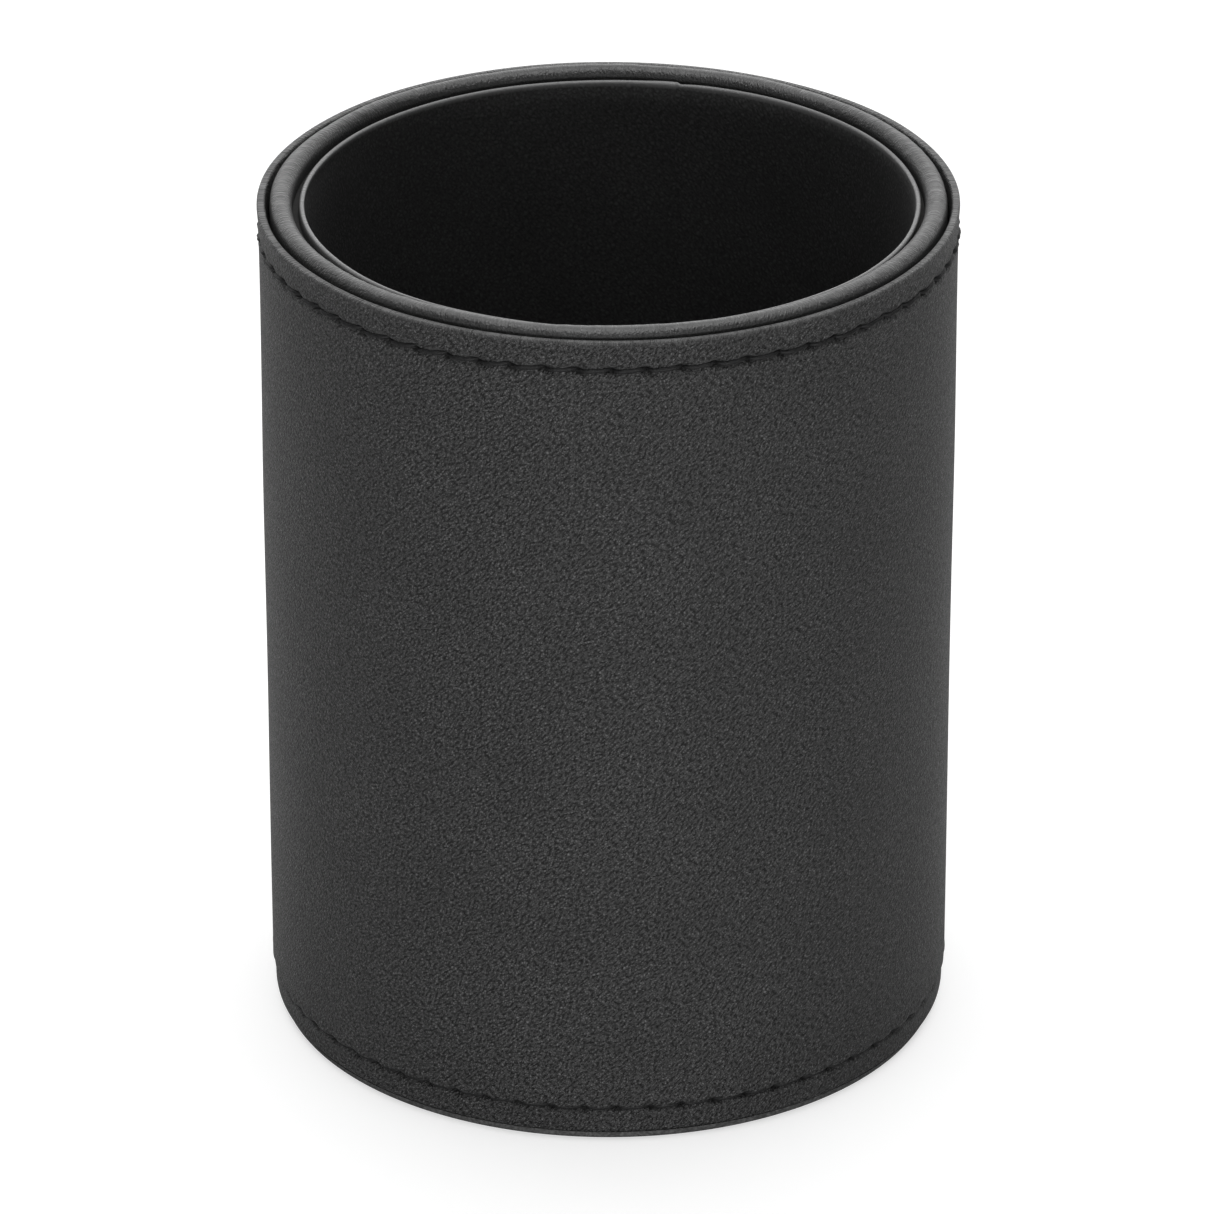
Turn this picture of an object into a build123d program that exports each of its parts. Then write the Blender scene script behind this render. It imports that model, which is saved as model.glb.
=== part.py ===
from build123d import *
import os
from math import cos, degrees, pi, radians

# Leather dice cup: a fibreboard tube dressed in a stitched leather sleeve, with the rim bound in
# leather and a separate lining pushed down inside. Millimetres, +Z up. The origin is the centre of
# the underside, the mouth faces +Z, and the sleeve's seam faces +Y, the back of the cup.

back = 90.0  # degrees round from +X

# Overall sizes
body_diameter = 79.7  # outside of the sleeve below its flared lip
cup_height = 101.5  # underside to the crest of the rim

# Wall, from the outside in
sleeve_thick = 1.3
core_thick = 2.6  # fibreboard tube where it has its full thickness
lining_board_thick = 0.65
lining_thick = 0.6

# Bound rim
rim_leather_thick = 0.6  # skived leather turned over the tube's top
rim_outer_skirt = 8.0  # how far it hangs down behind the sleeve
rim_inner_skirt = 12.0  # how far it hangs down behind the lining
lining_drop = 0.95  # lining's edge below the crest
lining_board_drop = 2.2  # card's edge below the crest

# Sleeve
sleeve_drop = 0.7  # lip below the crest of the rim
lip_flare = 0.15  # how far the lip stands out from the body
lip_height = 2.8
lip_thick = 1.0
lip_round = 0.35
hem_setback = 0.3  # the stitches draw the sleeve in below the bottom row
hem_round = 0.6  # bottom edge of the sleeve
seam_gap = 0.2  # butt joint at the back

# Bottom, from the table up
pad_thick = 1.0
pad_setback = 0.95  # pad's edge inside the sleeve's surface
pad_round = 0.3
base_board_thick = 2.5
floor_board_thick = 1.2
floor_cover_thick = 0.8

# Stitching
thread_diameter = 0.6
thread_sink = 0.35  # depth of the furrow that the rows lie in
furrow_clearance = 0.1
stitch_pitch = 3.85
stitch_gap = 0.7  # between two stitches, where the thread goes through
top_row_drop = 3.5  # row below the sleeve's lip
bottom_row_rise = 3.3  # row above the sleeve's lower edge
seam_stitch_pitch = 4.0
seam_stitch_reach = 2.4  # each side of the seam
seam_row_margin = 4.0  # clear of the two rows

# Lining's skived joint
lining_joint_angle = 77.0  # degrees round from +X, a little to the right of the back
lining_joint_gap = 0.1
lining_joint_skive = 60.0  # degrees between the cut and a square cut
same_size = 0.01  # sizes closer than this are the same edge's
joint_overcut = 0.5  # how far a blade that parts a sheet runs past both of its faces

# Worked out from the sizes above
body_radius = body_diameter / 2
lip_radius = body_radius + lip_flare
lip_inner_radius = lip_radius - lip_thick
hem_radius = body_radius - hem_setback
core_outer = body_radius - sleeve_thick
core_inner = core_outer - core_thick
lining_outer = core_inner - lining_board_thick
lining_inner = lining_outer - lining_thick
thread_radius = thread_diameter / 2
rim_crown_radius = core_thick / 2
rim_middle = (core_outer + core_inner) / 2
rim_shoulder = cup_height - rim_crown_radius
rim_outer_end = cup_height - rim_outer_skirt
rim_inner_end = cup_height - rim_inner_skirt
rim_outer_back = core_outer - rim_leather_thick
rim_inner_back = core_inner + rim_leather_thick
rim_crown_inside = rim_shoulder + rim_crown_radius - rim_leather_thick
sleeve_top = cup_height - sleeve_drop
top_row_height = sleeve_top - top_row_drop
bottom_row_height = pad_thick + bottom_row_rise
base_board_top = pad_thick + base_board_thick
floor_board_top = base_board_top + floor_board_thick
floor_top = floor_board_top + floor_cover_thick
stitch_count = round(2 * pi * body_radius / stitch_pitch)
furrow_floor_radius = body_radius - thread_sink
thread_path_radius = furrow_floor_radius + thread_radius
seam_stitch_half_angle = degrees(seam_stitch_reach / body_radius)
seam_low = bottom_row_height + seam_row_margin
seam_length = top_row_height - seam_row_margin - seam_low
seam_spaces = round(seam_length / seam_stitch_pitch)
seam_stitch_heights = [seam_low + seam_length * index / seam_spaces for index in range(seam_spaces + 1)]


def disc(radius, bottom, top):
    low_centre = (Align.CENTER, Align.CENTER, Align.MIN)
    return Pos(0, 0, bottom) * Cylinder(radius, top - bottom, align=low_centre)


def tube(inner, outer, bottom, top):
    return disc(outer, bottom, top) - disc(inner, bottom, top)


def turned(outline):
    # A solid of revolution from a closed outline in the XZ plane.
    return revolve(Plane.XZ * make_face(outline), Axis.Z)


def edges_at(shape, height, radius):
    # The round edges of one radius at one height.
    circles = shape.edges().filter_by(GeomType.CIRCLE)
    level = circles.filter_by(lambda edge: abs(edge.center().Z - height) < same_size)
    return level.filter_by(lambda edge: abs(edge.radius - radius) < same_size)


def thread_along(height, start_angle, sweep_angle):
    # A piece of thread bent round the cup, on the floor of its furrow.
    section = Plane.XZ * Pos(thread_path_radius, height) * Circle(thread_radius)
    return Rot(0, 0, start_angle) * revolve(section, Axis.Z, sweep_angle)


def furrow(height, start_angle, sweep_angle):
    # Where a thread lies, cut square and open to the outside.
    depth = lip_radius - furrow_floor_radius
    width = thread_diameter + 2 * furrow_clearance
    section = Plane.XZ * Pos(furrow_floor_radius + depth / 2, height) * Rectangle(depth, width)
    return Rot(0, 0, start_angle) * revolve(section, Axis.Z, sweep_angle)


def upright_joint(angle, gap, skive, inner, outer, bottom, top):
    # A thin blade that parts a rolled sheet where its two ends meet. The skive leans the cut.
    reach = (outer - inner + 2 * joint_overcut) / cos(radians(skive))
    blade = Box(reach, gap, top - bottom, align=(Align.CENTER, Align.CENTER, Align.MIN))
    return Rot(0, 0, angle) * Pos((inner + outer) / 2, 0, bottom) * Rot(0, 0, skive) * blade


def outer_sleeve():
    lip_start = sleeve_top - lip_height
    outline = Curve() + [
        Line((core_outer, pad_thick), (hem_radius, pad_thick)),
        Line((hem_radius, pad_thick), (hem_radius, bottom_row_height)),
        Line((hem_radius, bottom_row_height), (body_radius, bottom_row_height)),
        Line((body_radius, bottom_row_height), (body_radius, lip_start)),
        TangentArc((body_radius, lip_start), (lip_radius, sleeve_top), tangent=(0, 1)),
        Line((lip_radius, sleeve_top), (lip_inner_radius, sleeve_top)),
        TangentArc((core_outer, lip_start), (lip_inner_radius, sleeve_top), tangent=(0, 1)),
        Line((core_outer, lip_start), (core_outer, pad_thick)),
    ]
    sleeve = turned(outline)
    lip = edges_at(sleeve, sleeve_top, lip_radius) + edges_at(sleeve, sleeve_top, lip_inner_radius)
    sleeve = fillet(lip, lip_round)
    sleeve = fillet(edges_at(sleeve, pad_thick, hem_radius), hem_round)
    for row_height in (top_row_height, bottom_row_height):
        sleeve -= furrow(row_height, back, 360)
    half_angle = seam_stitch_half_angle + degrees(furrow_clearance / body_radius)
    for stitch_height in seam_stitch_heights:
        sleeve -= furrow(stitch_height, back - half_angle, 2 * half_angle)
    return sleeve - upright_joint(back, seam_gap, 0, core_outer, lip_radius, pad_thick, sleeve_top)


def rim_cover():
    outline = Curve() + [
        Line((core_outer, rim_outer_end), (core_outer, rim_shoulder)),
        ThreePointArc((core_outer, rim_shoulder), (rim_middle, cup_height), (core_inner, rim_shoulder)),
        Line((core_inner, rim_shoulder), (core_inner, rim_inner_end)),
        Line((core_inner, rim_inner_end), (rim_inner_back, rim_inner_end)),
        Line((rim_inner_back, rim_inner_end), (rim_inner_back, rim_shoulder)),
        rim_crown(),
        Line((rim_outer_back, rim_shoulder), (rim_outer_back, rim_outer_end)),
        Line((rim_outer_back, rim_outer_end), (core_outer, rim_outer_end)),
    ]
    return turned(outline)


def rim_crown():
    # Top of the fibreboard, and the underside of the leather turned over it.
    return ThreePointArc(
        (rim_inner_back, rim_shoulder), (rim_middle, rim_crown_inside), (rim_outer_back, rim_shoulder)
    )


def core_tube():
    # Rebated at the top on both faces, so that the turned leather lies flush.
    outline = Curve() + [
        Line((core_inner, pad_thick), (core_outer, pad_thick)),
        Line((core_outer, pad_thick), (core_outer, rim_outer_end)),
        Line((core_outer, rim_outer_end), (rim_outer_back, rim_outer_end)),
        Line((rim_outer_back, rim_outer_end), (rim_outer_back, rim_shoulder)),
        rim_crown(),
        Line((rim_inner_back, rim_shoulder), (rim_inner_back, rim_inner_end)),
        Line((rim_inner_back, rim_inner_end), (core_inner, rim_inner_end)),
        Line((core_inner, rim_inner_end), (core_inner, pad_thick)),
    ]
    return turned(outline)


def lining_board():
    return tube(lining_outer, core_inner, base_board_top, cup_height - lining_board_drop)


def lining_sleeve():
    top = cup_height - lining_drop
    skive = lining_joint_skive
    joint = upright_joint(
        lining_joint_angle, lining_joint_gap, skive, lining_inner, lining_outer, floor_top, top
    )
    return tube(lining_inner, lining_outer, floor_top, top) - joint


def base_pad():
    pad_radius = body_radius - pad_setback
    pad = disc(pad_radius, 0, pad_thick)
    return fillet(edges_at(pad, 0, pad_radius), pad_round)


def stitch_row(height):
    pitch_angle = 360 / stitch_count
    gap_angle = degrees(stitch_gap / body_radius)
    first = back + gap_angle / 2
    return [
        thread_along(height, first + index * pitch_angle, pitch_angle - gap_angle)
        for index in range(stitch_count)
    ]


def seam_stitches():
    # Short threads lying across the butt joint.
    return [
        thread_along(height, back - seam_stitch_half_angle, 2 * seam_stitch_half_angle)
        for height in seam_stitch_heights
    ]


nodes = {
    "outer_sleeve": outer_sleeve(),
    "rim_cover": rim_cover(),
    "core_tube": core_tube(),
    "lining_board": lining_board(),
    "lining_sleeve": lining_sleeve(),
    "floor_cover": disc(lining_outer, floor_board_top, floor_top),
    "floor_board": disc(lining_outer, base_board_top, floor_board_top),
    "base_board": disc(core_inner, pad_thick, base_board_top),
    "base_pad": base_pad(),
    "top_stitches": Compound(children=stitch_row(top_row_height)),
    "bottom_stitches": Compound(children=stitch_row(bottom_row_height)),
    "seam_stitches": Compound(children=seam_stitches()),
}

os.makedirs("parts", exist_ok=True)
for name, shape in nodes.items():
    export_step(shape, f"parts/{name}.step")
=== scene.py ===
import bpy
import bmesh
import math
import random
from mathutils import Matrix, Vector, noise


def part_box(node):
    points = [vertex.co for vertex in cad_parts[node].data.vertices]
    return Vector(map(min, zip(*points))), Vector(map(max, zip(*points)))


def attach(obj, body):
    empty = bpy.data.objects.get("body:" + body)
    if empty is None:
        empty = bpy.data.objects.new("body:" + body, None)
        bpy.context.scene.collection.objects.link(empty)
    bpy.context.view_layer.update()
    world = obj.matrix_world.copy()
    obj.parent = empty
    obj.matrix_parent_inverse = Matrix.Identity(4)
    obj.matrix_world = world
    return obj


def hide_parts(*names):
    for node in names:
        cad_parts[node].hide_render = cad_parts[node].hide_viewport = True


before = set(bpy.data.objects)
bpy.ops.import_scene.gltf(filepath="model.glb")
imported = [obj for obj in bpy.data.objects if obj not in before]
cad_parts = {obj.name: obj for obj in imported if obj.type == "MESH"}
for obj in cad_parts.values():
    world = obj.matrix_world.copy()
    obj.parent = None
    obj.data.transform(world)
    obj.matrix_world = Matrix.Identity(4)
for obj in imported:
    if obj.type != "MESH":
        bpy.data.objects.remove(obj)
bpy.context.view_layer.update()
print("frame loaded")

# Meshes are made in millimetres and brought to metres as each piece is finished
mm = 0.001
backAngle = math.radians(90)  # the sleeve's seam, round from +X
doublings = 7  # how often a wedge is doubled to go all the way round
random.seed(23)


def nodeBox(name):
    low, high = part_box(name)
    return low / mm, high / mm


padLow, padHigh = nodeBox("base_pad")
sleeveLow, sleeveHigh = nodeBox("outer_sleeve")
rimLow, rimHigh = nodeBox("rim_cover")
liningLow, liningHigh = nodeBox("lining_sleeve")
floorLow, floorHigh = nodeBox("floor_cover")
topRowLow, topRowHigh = nodeBox("top_stitches")
bottomRowLow, bottomRowHigh = nodeBox("bottom_stitches")
seamRowLow, seamRowHigh = nodeBox("seam_stitches")


def roundedOutline(corners, segments):
    # corners are (radius, height, rounding); gives a closed wire in the XZ plane
    bm = bmesh.new()
    verts = [bm.verts.new((radius, 0, height)) for radius, height, rounding in corners]
    bm.faces.new(verts)
    for vert, (radius, height, rounding) in zip(verts, corners):
        if rounding:
            bmesh.ops.bevel(bm, geom=[vert], offset=rounding, offset_type="OFFSET", segments=segments,
                            profile=0.5, affect="VERTICES", material=-1)
    bmesh.ops.delete(bm, geom=bm.faces[:], context="FACES_ONLY")
    bmesh.ops.remove_doubles(bm, verts=bm.verts[:], dist=0.002)
    return bm


def divideEdges(bm, spacing):
    # spacing(middle) is the longest edge wanted there
    for edge in bm.edges[:]:
        middle = (edge.verts[0].co + edge.verts[1].co) / 2
        cuts = math.ceil(edge.calc_length() / spacing(middle)) - 1
        if cuts > 0:
            bmesh.ops.subdivide_edges(bm, edges=[edge], cuts=cuts)


def spinRound(bm, wedgeSteps, startAngle, gapAngle=0.0):
    # a narrow wedge is spun, then doubled until it closes the circle
    # a gap leaves the two ends of the sheet facing each other, each with its own cut face
    wedge = (2 * math.pi - gapAngle) / 2 ** doublings
    bmesh.ops.rotate(bm, verts=bm.verts[:], cent=(0, 0, 0),
                     matrix=Matrix.Rotation(startAngle + gapAngle / 2, 3, "Z"))
    bmesh.ops.spin(bm, geom=bm.verts[:] + bm.edges[:], cent=(0, 0, 0), axis=(0, 0, 1),
                   angle=wedge, steps=wedgeSteps, use_merge=False)
    for _ in range(doublings):
        copied = bmesh.ops.duplicate(bm, geom=bm.verts[:] + bm.edges[:] + bm.faces[:])["geom"]
        verts = [item for item in copied if isinstance(item, bmesh.types.BMVert)]
        bmesh.ops.rotate(bm, verts=verts, cent=(0, 0, 0), matrix=Matrix.Rotation(wedge, 3, "Z"))
        wedge *= 2
    bmesh.ops.remove_doubles(bm, verts=bm.verts[:], dist=0.001)
    if gapAngle:
        bmesh.ops.edgeloop_fill(bm, edges=[edge for edge in bm.edges if edge.is_boundary])


def angleFrom(startAngle, point):
    return (math.atan2(point.y, point.x) - startAngle) % (2 * math.pi)


def layOutSheet(bm, radius, startAngle):
    # UVs in decimetres along the leather as it lay flat before it was rolled
    uv = bm.loops.layers.uv.new("sheet")
    for face in bm.faces:
        middle = angleFrom(startAngle, face.calc_center_median())
        for loop in face.loops:
            turn = angleFrom(startAngle, loop.vert.co) - middle
            turn = (turn + math.pi) % (2 * math.pi) - math.pi
            loop[uv].uv = ((middle + turn) * radius / 100, loop.vert.co.z / 100)


def shiftOut(vert, radius, push):
    # moves a point away from the cup's axis
    vert.co.x += push * vert.co.x / radius
    vert.co.y += push * vert.co.y / radius


def finishPiece(bm, name, material, node, sharp):
    # sharp is the angle in degrees past which an edge isn't smoothed
    bmesh.ops.recalc_face_normals(bm, faces=bm.faces[:])
    bmesh.ops.scale(bm, vec=(mm, mm, mm), verts=bm.verts[:])
    mesh = bpy.data.meshes.new(name)
    bm.to_mesh(mesh)
    bm.free()
    mesh.shade_smooth()
    mesh.set_sharp_from_angle(angle=math.radians(sharp))
    piece = bpy.data.objects.new(name, mesh)
    bpy.context.scene.collection.objects.link(piece)
    mesh.materials.append(material)
    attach(piece, "root")
    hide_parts(node)


def hump(distance, width):
    return math.exp(-(distance / width) ** 2)


def easeIn(value):
    value = min(max(value, 0.0), 1.0)
    return value * value * (3 - 2 * value)


def waver(angle, turns, seed):
    # slow uneven change round the cup, about -1 to 1
    return 2 * noise.noise(Vector((math.cos(angle) * turns, math.sin(angle) * turns, seed)))


def addNode(tree, kind, **settings):
    node = tree.nodes.new(kind)
    for key, value in settings.items():
        setattr(node, key, value)
    return node


def setInputs(node, **values):
    for key, value in values.items():
        node.inputs[key.replace("_", " ")].default_value = value


def mathNode(tree, operation, first, second=None):
    node = addNode(tree, "ShaderNodeMath", operation=operation)
    for socket, value in zip(node.inputs, (first, second)):
        if isinstance(value, (int, float)):
            socket.default_value = value
        elif value is not None:
            tree.links.new(value, socket)
    return node.outputs[0]


def rangeNode(tree, value, fromLow, fromHigh, toLow, toHigh):
    node = addNode(tree, "ShaderNodeMapRange")
    node.inputs["From Min"].default_value = fromLow
    node.inputs["From Max"].default_value = fromHigh
    node.inputs["To Min"].default_value = toLow
    node.inputs["To Max"].default_value = toHigh
    tree.links.new(value, node.inputs["Value"])
    return node.outputs["Result"]


def mixColors(tree, factor, first, second, blend="MIX"):
    node = addNode(tree, "ShaderNodeMix", data_type="RGBA", blend_type=blend)
    factorIn, firstIn, secondIn = node.inputs[0], node.inputs[6], node.inputs[7]
    for socket, value in ((factorIn, factor), (firstIn, first), (secondIn, second)):
        if isinstance(value, (int, float)):
            socket.default_value = value
        elif isinstance(value, tuple):
            socket.default_value = (*value, 1)
        else:
            tree.links.new(value, socket)
    return node.outputs[2]


def newGroup(name, inputs, outputs):
    group = bpy.data.node_groups.new(name, "ShaderNodeTree")
    for socketName, kind, value in inputs:
        socket = group.interface.new_socket(name=socketName, in_out="INPUT", socket_type=kind)
        if value is not None:
            socket.default_value = value
    for socketName, kind in outputs:
        group.interface.new_socket(name=socketName, in_out="OUTPUT", socket_type=kind)
    given = group.nodes.new("NodeGroupInput").outputs
    wanted = group.nodes.new("NodeGroupOutput").inputs
    return group, given, wanted


# Sizes of the two patterns against one pebble, and against one metre
pebblePattern = {
    "driftScale": 0.6, "fineScale": 2.2, "broadScale": 0.35,
    "flattest": 0.45,  # height left in the smoothest patches of the grain
    "fineShare": 0.5,
}
hidePattern = {
    "cloudScale": 90.0,
    "streakAngle": math.radians(50), "streakSize": (1 / 130, 1 / 900, 1 / 400),
}


def makePebbleGrain():
    # small rounded pebbles parted by creases, softened and broken up as on milled leather
    group, given, wanted = newGroup(
        "pebbleGrain",
        [("Vector", "NodeSocketVector", None), ("Pebbles per m", "NodeSocketFloat", 2000.0),
         ("Softness", "NodeSocketFloat", 0.5), ("Wander", "NodeSocketFloat", 0.2)],
        [("Height", "NodeSocketFloat"), ("Crease", "NodeSocketFloat"), ("Tint", "NodeSocketFloat")])
    links = group.links
    size = addNode(group, "ShaderNodeVectorMath", operation="SCALE")
    links.new(given["Vector"], size.inputs[0])
    links.new(given["Pebbles per m"], size.inputs["Scale"])
    drift = addNode(group, "ShaderNodeTexNoise")
    setInputs(drift, Scale=pebblePattern["driftScale"], Detail=2.0)
    links.new(size.outputs[0], drift.inputs["Vector"])
    push = addNode(group, "ShaderNodeVectorMath", operation="SCALE")
    links.new(drift.outputs["Color"], push.inputs[0])
    links.new(given["Wander"], push.inputs["Scale"])
    bent = addNode(group, "ShaderNodeVectorMath", operation="ADD")
    links.new(size.outputs[0], bent.inputs[0])
    links.new(push.outputs[0], bent.inputs[1])
    cells = addNode(group, "ShaderNodeTexVoronoi", feature="DISTANCE_TO_EDGE")
    setInputs(cells, Scale=1.0)
    links.new(bent.outputs[0], cells.inputs["Vector"])
    pebble = addNode(group, "ShaderNodeMapRange", interpolation_type="SMOOTHSTEP")
    links.new(cells.outputs["Distance"], pebble.inputs["Value"])
    links.new(given["Softness"], pebble.inputs["From Max"])
    fine = addNode(group, "ShaderNodeTexNoise")
    setInputs(fine, Scale=pebblePattern["fineScale"], Detail=3.0, Roughness=0.6)
    links.new(size.outputs[0], fine.inputs["Vector"])
    broad = addNode(group, "ShaderNodeTexNoise")
    setInputs(broad, Scale=pebblePattern["broadScale"], Detail=2.0)
    links.new(size.outputs[0], broad.inputs["Vector"])
    patches = rangeNode(group, broad.outputs["Fac"], 0.3, 0.7, pebblePattern["flattest"], 1.0)
    height = mathNode(group, "MULTIPLY", pebble.outputs["Result"], patches)
    fineHeight = mathNode(group, "MULTIPLY", fine.outputs["Fac"], pebblePattern["fineShare"])
    links.new(mathNode(group, "ADD", height, fineHeight), wanted["Height"])
    links.new(mathNode(group, "SUBTRACT", 1.0, pebble.outputs["Result"]), wanted["Crease"])
    links.new(broad.outputs["Fac"], wanted["Tint"])
    return group


def makeHideMarks():
    # cloudy patches and faint slanting stretch marks, a centimetre or two across
    group, given, wanted = newGroup(
        "hideMarks", [("Vector", "NodeSocketVector", None)],
        [("Clouds", "NodeSocketFloat"), ("Streaks", "NodeSocketFloat")])
    links = group.links
    clouds = addNode(group, "ShaderNodeTexNoise")
    setInputs(clouds, Scale=hidePattern["cloudScale"], Detail=4.0, Roughness=0.55)
    links.new(given["Vector"], clouds.inputs["Vector"])
    slant = addNode(group, "ShaderNodeMapping", vector_type="TEXTURE")
    setInputs(slant, Rotation=(0, 0, hidePattern["streakAngle"]), Scale=hidePattern["streakSize"])
    links.new(given["Vector"], slant.inputs["Vector"])
    streaks = addNode(group, "ShaderNodeTexNoise")
    setInputs(streaks, Scale=1.0, Detail=2.0)
    links.new(slant.outputs[0], streaks.inputs["Vector"])
    links.new(clouds.outputs["Fac"], wanted["Clouds"])
    links.new(streaks.outputs["Fac"], wanted["Streaks"])
    return group


pebbleGrain = makePebbleGrain()
hideMarks = makeHideMarks()


def newMaterial(name):
    material = bpy.data.materials.new(name)
    material.use_nodes = True
    tree = material.node_tree
    return material, tree, tree.nodes["Principled BSDF"]


def placeGroup(tree, group, vector):
    node = addNode(tree, "ShaderNodeGroup", node_tree=group)
    tree.links.new(vector, node.inputs["Vector"])
    return node


# What all the leathers share
leather = {
    "hatchAngle": math.radians(45), "hatchStretch": (1.7, 1.0, 1.0),  # specks drawn out on the slant
    "speckLow": 0.36, "speckHigh": 0.6, "speckLift": 0.7, "speckHeight": 0.5,
    "roughChange": 0.05, "creaseRough": 0.12, "paintedShadeRough": 0.3,
}


def makeLeather(name, look):
    material, tree, shader = newMaterial(name)
    links = tree.links
    if look["onSheet"]:
        place = addNode(tree, "ShaderNodeUVMap", uv_map="sheet").outputs["UV"]
        scaled = addNode(tree, "ShaderNodeVectorMath", operation="SCALE")  # decimetres to metres
        scaled.inputs["Scale"].default_value = 0.1
        links.new(place, scaled.inputs[0])
        place = scaled.outputs[0]
    else:
        place = addNode(tree, "ShaderNodeTexCoord").outputs["Object"]
    grain = placeGroup(tree, pebbleGrain, place)
    grain.inputs["Pebbles per m"].default_value = 1000 / look["pebble"]
    grain.inputs["Softness"].default_value = look["softness"]
    marks = placeGroup(tree, hideMarks, place)
    wearAndHighlight = addNode(tree, "ShaderNodeAttribute", attribute_name="wearAndHighlight").outputs["Fac"]
    paintedShade = addNode(tree, "ShaderNodeAttribute", attribute_name="paintedShade").outputs["Fac"]

    cloudy = rangeNode(tree, marks.outputs["Clouds"], 0.3, 0.7, 0, 1)
    color = mixColors(tree, cloudy, look["dark"], look["light"])
    streaked = rangeNode(tree, marks.outputs["Streaks"], 0.35, 0.75, 0, look["streaks"])
    color = mixColors(tree, streaked, color, look["light"])
    # painted shade: the creases between the pebbles are darkened towards the shade colour
    creaseShadeMask = mathNode(tree, "MULTIPLY", grain.outputs["Crease"], look["creaseShadeAmount"])
    color = mixColors(tree, creaseShadeMask, color, look["shadeColor"])
    hatch = addNode(tree, "ShaderNodeMapping", vector_type="TEXTURE")
    setInputs(hatch, Rotation=(0, 0, leather["hatchAngle"]), Scale=leather["hatchStretch"])
    links.new(place, hatch.inputs["Vector"])
    specks = addNode(tree, "ShaderNodeTexNoise")
    setInputs(specks, Scale=1000 / look["speck"], Detail=1.0)
    links.new(hatch.outputs[0], specks.inputs["Vector"])
    darkest, palest = 1 - look["speckle"], 1 + look["speckle"] * leather["speckLift"]
    speckLow, speckHigh = leather["speckLow"], leather["speckHigh"]
    speckle = rangeNode(tree, specks.outputs["Fac"], speckLow, speckHigh, darkest, palest)
    color = mixColors(tree, 1.0, color, speckle, "MULTIPLY")
    # paler where the leather is worn, and where a highlight is painted above the stitches and along the
    # rim's crest
    color = mixColors(tree, wearAndHighlight, color, look["edge"])
    # painted shade in stitch pits, furrows, the seam and the rim's grooves, in the shade colour
    color = mixColors(tree, paintedShade, color, look["shadeColor"])
    links.new(color, shader.inputs["Base Color"])

    change = leather["roughChange"]
    rough = rangeNode(tree, grain.outputs["Tint"], 0.3, 0.7, look["rough"] - change, look["rough"] + change)
    creaseRough = mathNode(tree, "MULTIPLY", grain.outputs["Crease"], leather["creaseRough"])
    rough = mathNode(tree, "ADD", rough, creaseRough)
    rough = mathNode(tree, "SUBTRACT", rough, mathNode(tree, "MULTIPLY", wearAndHighlight, look["polish"]))
    rough = mathNode(tree, "ADD", rough, mathNode(tree, "MULTIPLY", paintedShade, leather["paintedShadeRough"]))
    links.new(rough, shader.inputs["Roughness"])
    shader.inputs["Specular IOR Level"].default_value = look["specular"]

    height = mathNode(tree, "ADD", grain.outputs["Height"],
                      mathNode(tree, "MULTIPLY", marks.outputs["Streaks"], look["streakHeight"]))
    height = mathNode(tree, "ADD", height, mathNode(tree, "MULTIPLY", speckle, leather["speckHeight"]))
    bump = addNode(tree, "ShaderNodeBump")
    bump.inputs["Strength"].default_value = look["bump"]
    bump.inputs["Distance"].default_value = look["bumpDepth"] * mm
    links.new(height, bump.inputs["Height"])
    links.new(bump.outputs["Normal"], shader.inputs["Normal"])
    return material


sleeveLook = {
    "onSheet": True,
    "pebble": 0.3, "softness": 0.42,  # mm across; how round the pebbles are
    "speck": 0.28, "speckle": 1.0,
    "dark": (0.052, 0.052, 0.0525), "light": (0.068, 0.068, 0.0685),
    "shadeColor": (0.006, 0.006, 0.006), "creaseShadeAmount": 0.85,
    "edge": (0.06, 0.06, 0.06), "polish": 0.1,
    "streaks": 0.35, "streakHeight": 0.6,
    "rough": 0.38, "specular": 0.33,
    "bump": 0.95, "bumpDepth": 0.1,
}
rimLook = {
    "onSheet": True,
    "pebble": 0.34, "softness": 0.4,
    "speck": 0.26, "speckle": 0.6,
    "dark": (0.013, 0.013, 0.013), "light": (0.019, 0.019, 0.019),
    "shadeColor": (0.004, 0.004, 0.004), "creaseShadeAmount": 0.4,
    "edge": (0.085, 0.085, 0.085), "polish": 0.1,
    # the crest's pale colour is partly wear and partly a painted highlight
    "streaks": 0.3, "streakHeight": 0.4,
    "rough": 0.33, "specular": 0.55,
    "bump": 0.75, "bumpDepth": 0.05,
}
liningLook = {
    "onSheet": True,
    "pebble": 0.55, "softness": 0.4,
    "speck": 0.3, "speckle": 0.35,
    "dark": (0.035, 0.035, 0.035), "light": (0.045, 0.045, 0.045),
    "shadeColor": (0.01, 0.01, 0.01), "creaseShadeAmount": 0.5,
    "edge": (0.14, 0.14, 0.14), "polish": 0.35,
    "streaks": 0.2, "streakHeight": 0.4,
    "rough": 0.6, "specular": 0.35,
    "bump": 0.5, "bumpDepth": 0.04,
}
padLook = {
    "onSheet": False,
    "pebble": 0.7, "softness": 0.4,
    "speck": 0.3, "speckle": 0.35,
    "dark": (0.06, 0.06, 0.06), "light": (0.08, 0.08, 0.08),
    "shadeColor": (0.02, 0.02, 0.02), "creaseShadeAmount": 0.5,
    "edge": (0.05, 0.05, 0.05), "polish": 0.05,
    "streaks": 0.2, "streakHeight": 0.3,
    "rough": 0.62, "specular": 0.4,
    "bump": 0.5, "bumpDepth": 0.05,
}
sleeveLeather = makeLeather("sleeveLeather", sleeveLook)
rimLeather = makeLeather("rimLeather", rimLook)
liningLeather = makeLeather("liningLeather", liningLook)
padLeather = makeLeather("padLeather", padLook)


threadLook = {
    "dark": (0.004, 0.004, 0.0042), "light": (0.016, 0.016, 0.0165), "specular": 0.2,
    "fibre": 9000.0, "roughest": 0.62, "waxiest": 0.45,
    "bump": 0.6, "bumpDepth": 0.03,
}


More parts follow.
